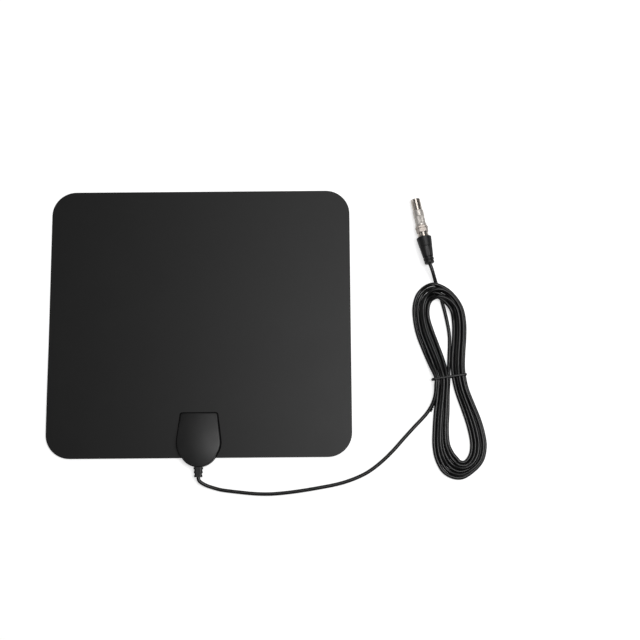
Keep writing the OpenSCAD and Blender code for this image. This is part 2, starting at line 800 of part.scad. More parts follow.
// Jacket and insulated conductor of the lead inside the plug
module plug_lead_end() {
  color("#151515") on_plug(0) difference() {
    cylinder(h = strip_s, r = cord_r);
    translate([0, 0, -past]) cylinder(h = strip_s + 2 * past, r = dielectric_r);
  }
}

spigot_s = nut_s + post_l + keep_l + clear;
contact_bore_l = 5;
module plug_conductor() {
  tip_s = spigot_s + 1.5 + contact_bore_l - 1;
  color("#b4703a") on_plug(0) union() {
    cylinder(h = nut_s + post_l + keep_l, r = dielectric_r);
    cylinder(h = tip_s, r = conductor_r);
  }
}

// Turned adapter body: threaded spigot in the nut, chamfered flange, fluted barrel and the sleeve's seat
body_bore_r = 3.2;
seat_l = 4.3;
flutes = 30;
flute_depth = 0.18;
module adapter_body() {
  seat_r = sleeve_r - sleeve_wall;
  color("#c9c3bb") on_plug(0) difference() {
    union() {
      translate([0, 0, spigot_s]) cylinder(h = flange_s - spigot_s, r = nut_thread_r - fit);
      turned([
        [0, flange_s], [flange_r - 0.6, flange_s], [flange_r, flange_s + 0.6],
        [flange_r, barrel_s - 0.5], [barrel_r + fit, barrel_s], [0, barrel_s]
      ]);
      translate([0, 0, barrel_s]) linear_extrude(barrel_l) polygon([
        for (k = [0:flutes - 1], side = [0, 1])
          let (a = (k + side / 2) * 360 / flutes, r = barrel_r - side * flute_depth) r * [cos(a), sin(a)]
      ]);
      translate([0, 0, collar_s]) cylinder(h = seat_l, r = seat_r);
    }
    translate([0, 0, spigot_s - past]) cylinder(h = plug_l, r = body_bore_r);
  }
}

// Ring over the root of the sleeve, which is drawn in where the ring grips it
sleeve_root_r = sleeve_r - 0.25;
module adapter_collar() {
  color("#d6d0c8") on_plug(collar_s) turned([
    [sleeve_root_r, 0], [collar_r - 0.3, 0], [collar_r, 0.3], [collar_r, collar_l - 0.4],
    [collar_r - 0.4, collar_l], [sleeve_root_r, collar_l]
  ]);
}

// Slotted spring sleeve of the aerial plug
module adapter_sleeve() {
  inner_r = sleeve_r - sleeve_wall;
  color("#cfc9c1") on_plug(collar_s) difference() {
    turned([
      [inner_r, fit], [sleeve_root_r, fit], [sleeve_root_r, collar_l], [sleeve_r, collar_l],
      [sleeve_r, collar_l + sleeve_l - 0.2], [sleeve_r - 0.2, collar_l + sleeve_l],
      [inner_r, collar_l + sleeve_l]
    ]);
    for (turn = [45, 135]) rotate([0, 0, turn])
      translate([-sleeve_r - past, -slot_w / 2, collar_l + sleeve_l - slot_l])
        cube([2 * (sleeve_r + past), slot_w, slot_l + past]);
  }
}

// Centre contact: a pin in the sleeve and a split socket for the lead's conductor
socket_r = 1;
pin_back = 1.5;
module adapter_pin() {
  pin_s = sleeve_s - 5;
  socket_s = spigot_s + 1.5;
  color("#d9c27a") on_plug(0) difference() {
    turned([
      [0, socket_s], [socket_r, socket_s], [socket_r, pin_s], [pin_r, pin_s],
      [pin_r, plug_l - pin_back - 0.6], [pin_r - 0.5, plug_l - pin_back], [0, plug_l - pin_back]
    ]);
    translate([0, 0, socket_s - past]) cylinder(h = contact_bore_l + past, r = conductor_r);
  }
}

// White discs that hold the contact in the middle
module pin_insulator() {
  color("#e8e6e0") on_plug(collar_s + seat_l) difference() {
    cylinder(h = sleeve_s - collar_s - seat_l + 0.6, r = sleeve_r - sleeve_wall);
    translate([0, 0, -past]) cylinder(h = 3 * seat_l, r = pin_r);
  }
}

module socket_insulator() {
  color("#e8e6e0") on_plug(spigot_s + 2) difference() {
    cylinder(h = 3, r = body_bore_r);
    translate([0, 0, -past]) cylinder(h = 3 + 2 * past, r = socket_r);
  }
}

rear_film();
front_film();
left_element();
right_element();
pod_base();
pod_cover();
cover_screws();
circuit_board();
balun_core();
balun_winding();
chip_parts();
left_contact();
right_contact();
strain_relief();
lead_end();
lead_shield();
lead_conductor();
antenna_lead();
lead_hank();
hank_tie();
lead_tail();
plug_boot();
plug_ferrule();
coupling_nut();
plug_lead_end();
plug_conductor();
adapter_body();
adapter_collar();
adapter_sleeve();
adapter_pin();
pin_insulator();
socket_insulator();
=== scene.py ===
# Flat indoor television antenna, laid on a white table and seen from above: a black film sheet, a moulded
# pod on its lower edge, and about 2.8 m of thin lead in a tied hank that ends in a metal aerial plug.
# All lengths are in metres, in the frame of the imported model.
import math

import bmesh
import bpy
from mathutils import Matrix, Vector


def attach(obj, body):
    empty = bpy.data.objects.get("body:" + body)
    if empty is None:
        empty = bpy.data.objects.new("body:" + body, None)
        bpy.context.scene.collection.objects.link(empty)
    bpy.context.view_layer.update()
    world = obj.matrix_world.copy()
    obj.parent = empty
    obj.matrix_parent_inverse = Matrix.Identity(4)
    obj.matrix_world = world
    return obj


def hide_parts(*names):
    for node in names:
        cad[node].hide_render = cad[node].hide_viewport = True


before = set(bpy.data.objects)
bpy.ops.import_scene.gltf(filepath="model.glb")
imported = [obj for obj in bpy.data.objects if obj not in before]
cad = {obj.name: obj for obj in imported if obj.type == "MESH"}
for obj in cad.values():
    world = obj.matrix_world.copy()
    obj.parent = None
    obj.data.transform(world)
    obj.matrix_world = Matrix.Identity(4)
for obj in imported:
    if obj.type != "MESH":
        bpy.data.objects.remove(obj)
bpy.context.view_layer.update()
scene = bpy.context.scene
scene.view_settings.view_transform = "Standard"
MM = 0.001


# Camera: a long lens almost straight above the table, leaning back a little towards the sheet's top.
# Its place, tilt and lens follow from the four corners of the sheet.
lens_mm, sensor_mm = 63.03, 36
camera_place = Vector((0.1194, -0.16155, 1.1022))
camera_tilt, camera_roll = math.radians(8.89), math.radians(-0.46)
lens = bpy.data.cameras.new("camera")
lens.lens, lens.sensor_width = lens_mm, sensor_mm
lens.clip_start, lens.clip_end = 0.05, 20
camera = bpy.data.objects.new("camera", lens)
scene.collection.objects.link(camera)
camera.matrix_world = (
    Matrix.Translation(camera_place)
    @ Matrix.Rotation(camera_tilt, 4, "X")
    @ Matrix.Rotation(camera_roll, 4, "Z")
)
scene.camera = camera


# Lead: a thin coaxial cable in one length from the pod to the plug. It is an extruded black jacket over
# braid and a foamed core, wound six times round into a flat hank, and it keeps the set of its bends.
class Signal:
    """A socket in an expression: arithmetic on it adds Math nodes to its finish."""

    def __init__(self, finish, socket):
        self.finish, self.socket = finish, socket

    def math(self, operation, *values):
        return self.finish.node("ShaderNodeMath", {"operation": operation}, dict(enumerate(values)))

    def __add__(self, other):
        return self.math("ADD", self, other)

    def __mul__(self, other):
        return self.math("MULTIPLY", self, other)

    __radd__, __rmul__ = __add__, __mul__

    def between(self, low, high):
        """0 below low, 1 above high and smooth in between."""
        return self.finish.node(
            "ShaderNodeMapRange",
            {"interpolation_type": "SMOOTHSTEP"},
            {"Value": self, "From Min": low, "From Max": high},
        )


class Finish:
    """One material, made of nodes in code. With store=bpy.data.worlds it is a world."""

    def __init__(self, name, store=None):
        holder = bpy.data.materials if store is None else store
        self.material = holder.new(name)
        self.material.use_nodes = True
        self.tree = self.material.node_tree
        self.tree.nodes.clear()

    def node(self, kind, settings=None, sockets=None, output=0):
        """A node of any kind, with its settings and then the values or links of its sockets."""
        made = self.tree.nodes.new(kind)
        for name, value in (settings or {}).items():
            setattr(made, name, value)
        for name, value in (sockets or {}).items():
            if isinstance(value, Signal):
                self.tree.links.new(value.socket, made.inputs[name])
            elif isinstance(value, tuple) and made.inputs[name].type == "RGBA":
                made.inputs[name].default_value = (*value, 1)
            else:
                made.inputs[name].default_value = value
        return Signal(self, made.outputs[output]) if len(made.outputs) else None

    def place(self):
        """Where a point is on the part, in metres."""
        return self.node("ShaderNodeTexCoord", output="Object")

    def noise(self, size, detail=2, roughness=0.5, at=None):
        """Even noise from 0 to 1 whose patches are about size metres across."""
        return self.node(
            "ShaderNodeTexNoise",
            {},
            {"Vector": at or self.place(), "Scale": 1 / size, "Detail": detail, "Roughness": roughness},
        )

    def stretched(self, x, y, z):
        """Object coordinates with each axis multiplied by its own factor."""
        return self.node(
            "ShaderNodeVectorMath", {"operation": "MULTIPLY"}, {0: self.place(), 1: (x, y, z)}
        )

    def mix(self, share, one, other):
        """A colour that goes from one to other as share goes from 0 to 1."""
        sockets = {"Factor": share, 6: one, 7: other}
        return self.node("ShaderNodeMix", {"data_type": "RGBA"}, sockets, output=2)

    def bump(self, height, depth, strength=1):
        """Normals of a relief whose heights from 0 to 1 stand for depth metres."""
        return self.node("ShaderNodeBump", {}, {"Height": height, "Distance": depth, "Strength": strength})

    def surface(self, **sockets):
        named = {name.replace("_", " "): value for name, value in sockets.items()}
        shader = self.node("ShaderNodeBsdfPrincipled", {}, named)
        self.node("ShaderNodeOutputMaterial", {}, {"Surface": shader})
        return self.material


def jacket_finish():
    """Satin black vinyl with a faint extrusion grain and dusty, slightly greyer patches."""
    f = Finish("lead_jacket")
    dust = f.noise(9 * MM, detail=4).between(0.45, 0.8)
    grain = f.noise(0.35 * MM, detail=3)
    return f.surface(
        Base_Color=f.mix(dust, (0.0035, 0.0035, 0.0037), (0.0065, 0.0063, 0.0062)),
        Roughness=0.3 + dust * 0.06 + grain * 0.05,
        Specular_IOR_Level=0.42,
        Normal=f.bump(grain, 0.015 * MM, 0.3),
    )


jacket = jacket_finish()
lead_d = 3.6 * MM
lead_r = lead_d / 2
curve_steps, ring_steps = 6, 5
exit_y = -143.25 * MM
# Places are [x, y] in mm from the exit. The third number is the height of the cord's underside.
pod_to_hank = [
    (0, 0, 2.4), (0.2, -1.9, 2.3), (1.1, -3.7, 2.1), (2.9, -5.3, 1.8), (5.4, -6.8, 1.4), (9, -8.5, 0.8),
    (14, -10.2, 0.3), (22, -12.4, 0), (31, -13.7, 0), (40, -14.8, 0), (50, -15.9, 0), (60, -16.6, 0),
    (70, -16.7, 0), (80, -16.1, 0), (90, -15.1, 0), (100, -13.8, 0), (110, -12.3, 0), (120, -10.6, 0),
    (130, -8.8, 0), (140, -6.5, 0), (149, -3.6, 0), (157, -0.4, 0), (164, 3.1, 0), (171, 7.7, 0),
    (178, 13.2, 0), (185, 19.5, 0), (192, 26.6, 0), (198.5, 33.8, 0), (205, 40.8, 0), (211.5, 47.7, 0),
    (217.8, 54.1, 0), (223.2, 60, 0.1), (227.4, 66.2, 0.7), (230.5, 73, 1.8), (232.2, 80, 2.7),
    (232.7, 88, 3),
]
hank_to_plug = [
    (245.8, 100, 0), (246.1, 106, 0), (246.5, 112, 0), (247, 120, 0), (247.5, 128, 0),
    (247.6, 135, 0), (246.9, 143, 0), (245.6, 151, 0), (243.9, 159.5, 0), (241.9, 168, 0),
    (239.8, 176, 0), (237.6, 183, 0.6), (235.4, 189.5, 2.2), (233.6, 195, 4.4), (231.9, 200.5, 6.6),
    (230.3, 205.2, 7.7), (228.9, 208.8, 7.87), (228.6, 210.4, 7.76),
]
# Middle of one turn of the hank, clockwise from the left of its waist
turn_line = [
    (237, 95), (233, 110), (228, 125), (223, 140), (219.5, 154), (219.5, 167), (224, 176.5), (232, 181),
    (241, 179.5), (249, 173), (254.5, 163), (256.5, 150), (256.5, 135), (255.3, 120), (254.3, 106),
    (254.6, 95), (258, 82), (263, 67), (268, 52), (271, 39), (272, 28), (269.5, 17), (263, 8.5),
    (254.5, 5.5), (246.5, 9), (240.5, 17.5), (236.5, 29), (236, 45), (237, 62), (238, 79),
]
# Where the six turns lie across the bundle at each point of turn_line, in mm outwards from it. The third
# and fifth lie on top, cross over their neighbours in the upper bend, and come down in the wide lower one.
lay_across = [
    (4.1, 2.3, -3.2, -1.4, -6.8, -5), (5.9, 2.6, -3, -1, -7.9, -4.8), (6.7, 3.1, -2.6, -0.5, -7.9, -4.6),
    (7, 3.4, -2.2, -0.2, -7.8, -4.3), (6.1, 2.5, -2.8, -1.1, -7.3, -4.7), (6.1, 2.5, -2.6, -1.1, -7.5, -4.7),
    (6.9, 3.2, -1.6, -0.5, -7.2, -4), (7.1, 3.4, 0.7, -1, -6.9, -4.6), (5.5, 1.8, 2.4, -2, -4.6, -5.6),
    (5.5, 1.8, 3.5, -1.8, -1.6, -5.5), (6.1, 2.5, 4.3, -1.1, 0.6, -4.7), (6.4, 2.8, 4.6, -0.8, 1, -4.4),
    (6.1, 2.5, 4.3, -1.1, 0.7, -4.7), (5.9, 2.3, 4.1, -1.3, 0.5, -4.9), (6.1, 2.5, 4.3, -1.1, 0.7, -4.7),
    (6.6, 3, 4.8, -0.6, 1.2, -4.2), (6, 2.4, 4.2, -1.2, 0.6, -4.8), (6.4, 2.8, 4.6, -1.3, 0.8, -4.9),
    (7, 3.3, 5.1, -1.7, 0.9, -5.2), (7.4, 3.5, 5.4, -1.8, 1, -5.3), (7.6, 3.6, 5.6, -1.9, 1, -5.4),
    (7.4, 3.4, 5.4, -1.6, 1, -5.1), (6.2, 2.2, 4.2, -1.9, 0.2, -5.3), (8.3, 2.1, 5.2, -4, -1, -7.3),
    (9.5, 2.1, 5.8, -5, -1.5, -8.6), (8.7, 1.9, 5.1, -4.7, -1.3, -8), (6.7, 0.6, 3.1, -4.7, -2.1, -7.4),
    (5.6, -0.2, 2, -4.7, -2.5, -7), (5, -0.7, 1.4, -4.9, -2.8, -7.1), (3.6, -1.7, 0, -5.1, -3.4, -6.8),
    (2.3, -3.2, -1.4, -6.8, -5, -8.7),
]
# Turns that may stand on others, before and after the lower bend, where all lie side by side
turns = 6
riding_first, riding_last, lower_bend = (0, 2, 4), (1, 3), 24
# The tie crosses the waist along a sloping line and lifts the lead by its own thickness
tie_middle, tie_slope, tie_lift = (245.9, 95.6), math.tan(math.radians(8)), 1.15
# Humps over the tie and over the tail: half the flat top, and where the lead is down again, in mm
tie_hump, tail_hump = (1.5, 16), (2.5, 20)
# The part of the tail that passes under the upper bend
under_bend = hank_to_plug[8:]


def ride_height(row, k, index):
    """How far turn k stands above the table, in mm, where it lies on the turns beside it."""
    riding = riding_first if index < lower_bend else riding_last
    if k not in riding:
        return 0
    gap = min(abs(row[k] - row[m]) for m in range(len(row)) if m not in riding)
    return math.sqrt(max(0, (lead_d / MM) ** 2 - gap**2))


def smooth_fall(distance, flat, reach):
    """1 up to flat, then down to 0 at reach."""
    t = min(1, max(0, (distance - flat) / (reach - flat)))
    return 1 - t * t * (3 - 2 * t)


def over_tie(x, y):
    """Lift of the lead where the tie passes under it, in mm."""
    return tie_lift * smooth_fall(abs(y - tie_middle[1] - (x - tie_middle[0]) * tie_slope), *tie_hump)


def over_tail(x, y):
    """Lift of the upper bend where the lead's tail passes under it, in mm."""
    for (x0, y0, h0), (x1, y1, h1) in zip(under_bend, under_bend[1:]):
        if y0 <= y <= y1:
            share = (y - y0) / (y1 - y0)
            tail_x, tail_top = x0 + share * (x1 - x0), h0 + share * (h1 - h0) + lead_d / MM
            return tail_top * smooth_fall(abs(x - tail_x), *tail_hump)
    return 0


def wound_turns():
    """Centreline of the turns, in mm from the exit, each in its own lane."""
    points = []
    count = len(turn_line)
    for k in range(turns):
        for i in range(count):
            here, ahead, behind = (Vector(turn_line[(i + step) % count]) for step in (0, 1, -1))
            along = (ahead - behind).normalized()
            x, y = here + Vector((-along.y, along.x)) * lay_across[i][k]
            z = lead_r / MM + ride_height(lay_across[i], k, i) + over_tie(x, y) + over_tail(x, y)
            points.append((x, y, z))
    return points


def lead_centre():
    """The whole route of the lead, in metres."""
    free = [(x, y, h + lead_r / MM + over_tie(x, y)) for x, y, h in pod_to_hank]
    tail = [(x, y, h + lead_r / MM + over_tie(x, y)) for x, y, h in hank_to_plug]
    last_row, last_turn = lay_across[-1], turns - 1
    last_height = lead_r / MM + tie_lift + ride_height(last_row, last_turn, len(turn_line))
    last = [(turn_line[0][0] - last_row[last_turn], turn_line[0][1], last_height)]
    return [
        Vector((x * MM, y * MM + exit_y, z * MM)) for x, y, z in free + wound_turns() + last + tail
    ]


def lead_piece():
    """A round cord on a smooth curve, level wherever it rests on the table."""
    curve = bpy.data.curves.new("lead", "CURVE")
    curve.dimensions, curve.resolution_u = "3D", curve_steps
    curve.bevel_depth, curve.bevel_resolution, curve.use_fill_caps = lead_r, ring_steps, True
    points = lead_centre()
    line = curve.splines.new("BEZIER")
    line.bezier_points.add(len(points) - 1)
    behind = [points[0] + Vector((0, MM, 0))] + points[:-1]
    ahead = points[1:] + [2 * points[-1] - points[-2]]
    for knot, last, place, following in zip(line.bezier_points, behind, points, ahead):
        along = (following - last).normalized()
        if place.z < lead_r + 0.05 * MM:
            along.z = 0
        knot.co, knot.handle_left_type, knot.handle_right_type = place, "FREE", "FREE"
        knot.handle_left = place - along * (place - last).length / 3
        knot.handle_right = place + along * (following - place).length / 3
    piece = bpy.data.objects.new("lead", curve)
    scene.collection.objects.link(piece)
    curve.materials.append(jacket)
    return piece


def length_of(points):
    return sum((b - a).length for a, b in zip(points, points[1:]))


lead = lead_piece()
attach(lead, "root")
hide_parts("antenna_lead", "lead_hank", "lead_tail")


# Sheet: two black films with the foil pressed between them, lying flat but for its lift to the pod.
# The films are matte and finely grained, so they show a soft sheen towards the light.
def paint(finish, *names):
    """Gives CAD nodes a finish in place of their plain colour."""
    for name in names:
        cad[name].data.materials.clear()
        cad[name].data.materials.append(finish)


def film_finish():
    f = Finish("film")
    grain = f.noise(0.45 * MM, detail=4, roughness=0.7)
    cloud = f.noise(38 * MM, detail=3)
    specks = f.noise(1.1 * MM, detail=1).between(0.72, 0.78)
    base = f.mix(cloud, (0.0045, 0.0045, 0.0047), (0.006, 0.0059, 0.0058))
    return f.surface(
        Base_Color=f.mix(specks * 0.5, base, (0.02, 0.02, 0.02)),
        Roughness=0.41 + cloud * 0.05 + grain * 0.06,
        Specular_IOR_Level=0.4,
        Normal=f.bump(grain, 0.03 * MM, 0.25),
    )


paint(film_finish(), "rear_film", "front_film")


# Foil: the two halves of the antenna, hidden between the films. They are cut from rolled aluminium,
# so they are bright along the rolling lines.
def foil_finish():
    f = Finish("foil")
    lines = f.noise(0.3 * MM, detail=3, at=f.stretched(0.04, 1, 1))
    return f.surface(
        Base_Color=f.mix(lines, (0.74, 0.75, 0.77), (0.84, 0.85, 0.86)),
        Metallic=1.0,
        Roughness=0.2 + lines * 0.2,
        Normal=f.bump(lines, 0.004 * MM, 0.4),
    )


paint(foil_finish(), "left_element", "right_element")


# Pod: a base and a domed cover in black polystyrene with a fine spark-eroded texture, screwed together
# from the back through both films. A shadow gap runs round the cover's foot.
def pod_finish():
    f = Finish("pod_plastic")
    texture = f.noise(0.28 * MM, detail=3, roughness=0.65)
    handled = f.noise(14 * MM, detail=3).between(0.35, 0.75)
    return f.surface(
        Base_Color=f.mix(handled, (0.0055, 0.0055, 0.0057), (0.0075, 0.0073, 0.0072)),
        Roughness=0.4 + handled * 0.06 + texture * 0.06,
        Specular_IOR_Level=0.5,
        Normal=f.bump(texture, 0.02 * MM, 0.3),
    )


pod_black = pod_finish()
paint(pod_black, "pod_base")
film_top = 1.9 * MM
skirt_h, skirt_in = 0.8 * MM, 0.6 * MM
cover_top = film_top + 7.5 * MM
nose_place, wide_place = Vector((0, -114.05 * MM)), Vector((0, -109.25 * MM))
# Circles that the cover's outline is drawn round: place and radius
outline_circles = [
    (wide_place, 22 * MM), (nose_place, 19.7 * MM),
    (Vector((16.25 * MM, -82.85 * MM)), 2.5 * MM), (Vector((-16.25 * MM, -82.85 * MM)), 2.5 * MM),
]
outline_steps = 96
dome_r = 120 * MM
rim_radius, rim_steps = 0.7 * MM, 5
# The cover is cut across every 2 mm, so that its face can follow the dome
cut_pitch = 2 * MM
cuts_x, cuts_y = (-22 * MM, 22 * MM), (-134 * MM, -80 * MM)
# The cover's wall stands inside the edge of the strip of painted shade under it, except at the nose
nose_edge_y, drawn_in = -133.75 * MM, (0.966, 0.99)


def dome_drop(x, y):
    """How far the dome's face lies below its crown."""
    return dome_r - math.sqrt(dome_r**2 - x**2 - (y - nose_place.y) ** 2)


def outline_block(bm, inset, low, high):
    """A block on the cover's outline, drawn in by inset."""
    points = []
    for z in (low, high):
        for centre, radius in outline_circles:
            made = bmesh.ops.create_circle(
                bm,
                segments=outline_steps,
                radius=radius - inset,
                matrix=Matrix.Translation((*centre, z)),
            )
            points += made["verts"]
    hull = bmesh.ops.convex_hull(bm, input=points)
    loose = {g for g in hull["geom_interior"] if isinstance(g, bmesh.types.BMVert)}
    bmesh.ops.delete(bm, geom=list(loose), context="VERTS")
    bmesh.ops.dissolve_limit(bm, angle_limit=math.radians(0.5), verts=bm.verts, edges=bm.edges)


def finished(bm, name, finish, sharp_deg=35):
    """Writes a bmesh to an object with smooth faces and sharp edges, and lets it ride on the part."""
    bmesh.ops.recalc_face_normals(bm, faces=bm.faces)
    for face in bm.faces:
        face.smooth = True
    for edge in bm.edges:
        edge.smooth = edge.calc_face_angle(0) < math.radians(sharp_deg)
    mesh = bpy.data.meshes.new(name)
    bm.to_mesh(mesh)
    bm.free()
    mesh.materials.append(finish)
    piece = bpy.data.objects.new(name, mesh)
    scene.collection.objects.link(piece)
    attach(piece, "root")
    return piece


def slice_through(bm, axis, low, high):
    """Cuts the whole mesh by parallel planes, so that it can be bent."""
    for i in range(int((high - low) / cut_pitch) + 1):
        place = Vector((0, 0, 0))
        place[axis] = low + i * cut_pitch
        normal = Vector((0, 0, 0))
        normal[axis] = 1
        geometry = bm.verts[:] + bm.edges[:] + bm.faces[:]
        bmesh.ops.bisect_plane(bm, geom=geometry, plane_co=place, plane_no=normal)


def cover_piece():
    """A block with a rounded rim whose face is let down to the dome, on a skirt that is drawn in."""
    bm = bmesh.new()
    low = film_top + skirt_h
    outline_block(bm, 0, low, cover_top)
    rim = [e for e in bm.edges if all(v.co.z > cover_top - MM for v in e.verts)]
    bmesh.ops.bevel(
        bm, geom=rim, offset=rim_radius, segments=rim_steps, profile=0.5, affect="EDGES", material=-1
    )
    slice_through(bm, 0, *cuts_x)
    slice_through(bm, 1, *cuts_y)
    for v in bm.verts:
        if v.co.z > low + rim_radius:
            v.co.z -= dome_drop(v.co.x, v.co.y)
    bmesh.ops.dissolve_degenerate(bm, edges=bm.edges, dist=0.01 * MM)
    skirt = bmesh.new()
    outline_block(skirt, skirt_in, film_top, low)
    spare = bpy.data.meshes.new("skirt")
    skirt.to_mesh(spare)
    skirt.free()
    bm.from_mesh(spare)
    bpy.data.meshes.remove(spare)
    nose = Matrix.Translation((0, nose_edge_y, 0))
    bm.transform(nose @ Matrix.Diagonal((*drawn_in, 1, 1)) @ nose.inverted())
    return finished(bm, "cover_shell", pod_black)


cover = cover_piece()
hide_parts("pod_cover")


# Shade strip: a thin near-black strip under the cover, cut to its outline and to the sheet's edge, and lying
# on the film. It is painted shade: it stands for the dark line of shade round the pod's foot.
def painted_shade_finish():
    f = Finish("painted_shade_strip")
    strip_mottle = f.noise(0.3 * MM, detail=2)
    return f.surface(
        # Near-black, dull and hardly glossy: painted shade for the dark line round the pod's foot
        Base_Color=f.mix(strip_mottle, (0.0012, 0.0012, 0.0012), (0.003, 0.003, 0.003)),
        Roughness=0.9,
        Specular_IOR_Level=0.08,
        Normal=f.bump(strip_mottle, 0.05 * MM, 0.5),
    )


shade_strip_out, shade_strip_h = 0.25 * MM, 0.35 * MM
sheet_edge_y = -124.75 * MM


def shade_strip_piece():
    bm = bmesh.new()
    outline_block(bm, -shade_strip_out, film_top, film_top + shade_strip_h)
    cut = bmesh.ops.bisect_plane(
        bm,
        geom=bm.verts[:] + bm.edges[:] + bm.faces[:],
        plane_co=(0, sheet_edge_y, 0),
        plane_no=(0, -1, 0),
        clear_outer=True,
    )
    rim = [e for e in cut["geom_cut"] if isinstance(e, bmesh.types.BMEdge)]
    bmesh.ops.contextual_create(bm, geom=rim)
    return finished(bm, "pod_shade_strip", painted_shade_finish())


shade_strip_piece()


# Strain relief: a soft black moulding with three ribs, held between the pod's base and cover, that keeps
# the lead from kinking where it leaves.
def rubber_finish():
    f = Finish("moulded_rubber")
    texture = f.noise(0.4 * MM, detail=3)
    bloom = f.noise(5 * MM, detail=3).between(0.4, 0.8)
    return f.surface(
        Base_Color=f.mix(bloom, (0.005, 0.005, 0.0052), (0.0085, 0.0083, 0.0082)),
        Roughness=0.42 + bloom * 0.08 + texture * 0.05,
        Specular_IOR_Level=0.5,
        Normal=f.bump(texture, 0.02 * MM, 0.3),
    )


rubber = rubber_finish()
paint(rubber, "strain_relief")


# Plug boot: one rubber moulding pressed on the plug's rear, with two grooves, eight flats and a mouth.
# The whole plug leans a little, because it rests on the boot's mouth and on the tip of its sleeve.
plug_rear = Vector((228.9 * MM, 208.8 * MM + exit_y, 9.6664 * MM))
plug_yaw, plug_dip = math.radians(10.7), math.radians(4.169)
plug_turn = (
    Matrix.Translation(plug_rear)
    @ Matrix.Rotation(plug_yaw, 4, "Z")
    @ Matrix.Rotation(-math.pi / 2 - plug_dip, 4, "X")
)
# Half section of the boot, bore and all: distance from its rear and radius, in mm
boot_outline = [
    (0, 1.85), (0, 4.4), (0.4, 4.8), (2, 4.9), (2.2, 4.7), (2.2, 3.9), (3.3, 3.9), (3.3, 4.9), (3.5, 5.1),
    (5.4, 5.2), (5.6, 5), (5.6, 4.2), (6.8, 4.2), (6.8, 5.1), (7, 5.3), (11.7, 5.85), (16.4, 6.4),
    (16.6, 6.2), (16.6, 5.9), (17.4, 5.9), (17.4, 6.3), (17.6, 6.5), (26.9, 7.5), (27.4, 7), (27.4, 4.3),
    (11, 4.3), (11, 1.85),
]
# The flats run from 7 to 16.5 mm from the rear, and are cut in to 0.955 of the radius
flats, flats_from, flats_to, flat_share = 8, 7, 16.5, 0.955
boot_steps = 96


def boot_piece():
    """The half section turned once round, with the flats pressed in."""
    bm = bmesh.new()
    line = [bm.verts.new((r * MM, 0, s * MM)) for s, r in boot_outline]
    edges = [bm.edges.new(pair) for pair in zip(line, line[1:] + line[:1])]
    bmesh.ops.spin(
        bm,
        geom=line + edges,
        cent=(0, 0, 0),
        axis=(0, 0, 1),
        angle=math.tau,
        steps=boot_steps,
        use_merge=True,
    )
    side = math.tau / flats
    for v in bm.verts:
        if flats_from - 0.001 < v.co.z / MM < flats_to:
            turn = (math.atan2(v.co.y, v.co.x) + side / 2) % side - side / 2
            v.co.xy *= min(1, flat_share / math.cos(turn))
    bm.transform(plug_turn)
    return finished(bm, "ribbed_boot", rubber)


boot = boot_piece()
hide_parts("plug_boot")
paint(jacket, "lead_end", "plug_lead_end")


# Hank tie: plastic-coated wire, flattened, bent once round the waist of the hank, with its two ends
# twisted together under the lead.
def tie_finish():
    f = Finish("tie_plastic")
    worn = f.noise(3 * MM, detail=3)
    return f.surface(
        Base_Color=f.mix(worn, (0.004, 0.004, 0.004), (0.009, 0.009, 0.009)),
        Roughness=0.4 + worn * 0.12,
        Normal=f.bump(worn, 0.02 * MM, 0.3),
    )


# Half the width and half the thickness of the flattened wire
wire_w, wire_t = 1.1 * MM, 0.55 * MM
wire_steps = 16
# The loop's half length, the room in it, and the radius that it is bent to
tie_half, tie_inner_h, tie_bend, bend_steps = 17 * MM, 7.4 * MM, 2.4 * MM, 6
# The twisted ends: from and to in mm from the exit, the wire's radius, and how often they are twisted
tail_from, tail_to, strand_r, tail_turns = (241.5, 93.2), (227.4, 61.8), 0.55 * MM, 7
strand_sides, strand_steps = 10, 14


def pulled_out(bm, ring, way):
    """Draws a ring of edges out along way, and gives the new ring."""
    made = bmesh.ops.extrude_edge_only(bm, edges=ring)["geom"]
    moved = [g for g in made if isinstance(g, bmesh.types.BMVert)]
    bmesh.ops.translate(bm, verts=moved, vec=way)
    far = set(moved)
    return [g for g in made if isinstance(g, bmesh.types.BMEdge) and all(v in far for v in g.verts)]


def tie_loop():
    """One loop of flattened wire in the XZ plane, with rounded corners and its lowest face at z = 0."""
    bm = bmesh.new()
    upright = Matrix.Rotation(math.pi / 2, 4, "Y")
    section = bmesh.ops.create_circle(bm, segments=wire_steps, radius=1, matrix=upright)["verts"]
    for v in section:
        v.co = Vector((0, v.co.y * wire_w, v.co.z * wire_t + wire_t))
    ring = list({e for v in section for e in v.link_edges})
    half_x, height = tie_half - tie_bend, tie_inner_h + 2 * wire_t - 2 * tie_bend
    low, high = tie_bend + wire_t, tie_bend + wire_t + height
    # Each straight run, and the centre of the bend that follows it
    runs = [
        ((half_x, 0, 0), (half_x, 0, low)),
        ((0, 0, height), (half_x, 0, high)),
        ((-2 * half_x, 0, 0), (-half_x, 0, high)),
        ((0, 0, -height), (-half_x, 0, low)),
    ]
    for way, centre in runs:
        ring = pulled_out(bm, ring, way)
        bent = bmesh.ops.spin(
            bm, geom=ring, cent=centre, axis=(0, -1, 0), angle=math.pi / 2, steps=bend_steps
        )
        ring = [g for g in bent["geom_last"] if isinstance(g, bmesh.types.BMEdge)]
    pulled_out(bm, ring, (half_x, 0, 0))
    bmesh.ops.remove_doubles(bm, verts=bm.verts, dist=0.02 * MM)
    return bm


